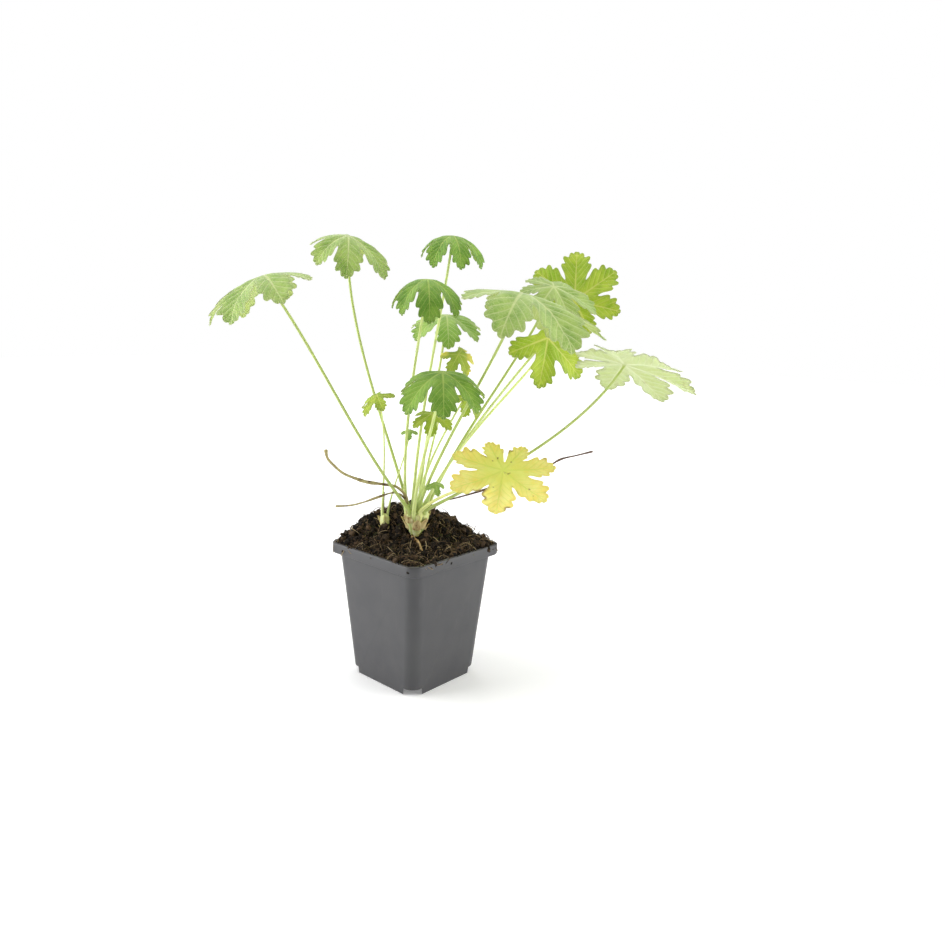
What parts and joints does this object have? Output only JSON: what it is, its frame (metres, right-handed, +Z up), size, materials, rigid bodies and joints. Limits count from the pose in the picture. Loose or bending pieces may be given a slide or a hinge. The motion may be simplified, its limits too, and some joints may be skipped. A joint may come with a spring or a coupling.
{
  "type": "hardy geranium in a nursery pot",
  "caption": "Young hardy geranium with long leaf stalks, domed and toothed lobed leaves and an old yellow leaf, growing in soil in a square tapered plastic pot.",
  "frame": {"origin": "centre of the pot's flat underside, on the surface it stands on", "axes": "+Z up; X and Y along the pot's sides; the plant's front faces between +X and -Y"},
  "size_m": [0.2602, 0.2849, 0.3192],
  "materials": {
    "pot_plastic": "satin moulded black-grey plastic",
    "potting_mix": "damp fibrous peat and bark",
    "crown_pale": "pale green fleshy stalk bases",
    "leaf_green": "soft downy leaf",
    "leaf_yellow": "fading leaf with brown spots",
    "dry_stalk": "dried brown stalk"
  },
  "bodies": {
    "root": {"pot": "pot_plastic", "soil": "potting_mix", "crown_main": "crown_pale", "crown_side": "crown_pale", "leaf_01": "leaf_green", "leaf_02": "leaf_green", "leaf_03": "leaf_green", "leaf_04": "leaf_green", "leaf_05": "leaf_green", "leaf_06": "leaf_green", "leaf_07": "leaf_green", "leaf_08": "leaf_green", "leaf_09": "leaf_green", "leaf_10": "leaf_green", "leaf_11": "leaf_green", "leaf_12": "leaf_green", "leaf_13": "leaf_green", "leaf_14": "leaf_green", "leaf_15": "leaf_green", "leaf_16": "leaf_green", "leaf_young": "leaf_green", "leaf_yellow": "leaf_yellow", "dead_stalk_left": "dry_stalk", "dead_stalk_right": "dry_stalk", "stub_left": "dry_stalk"}
  },
  "joints": []
}
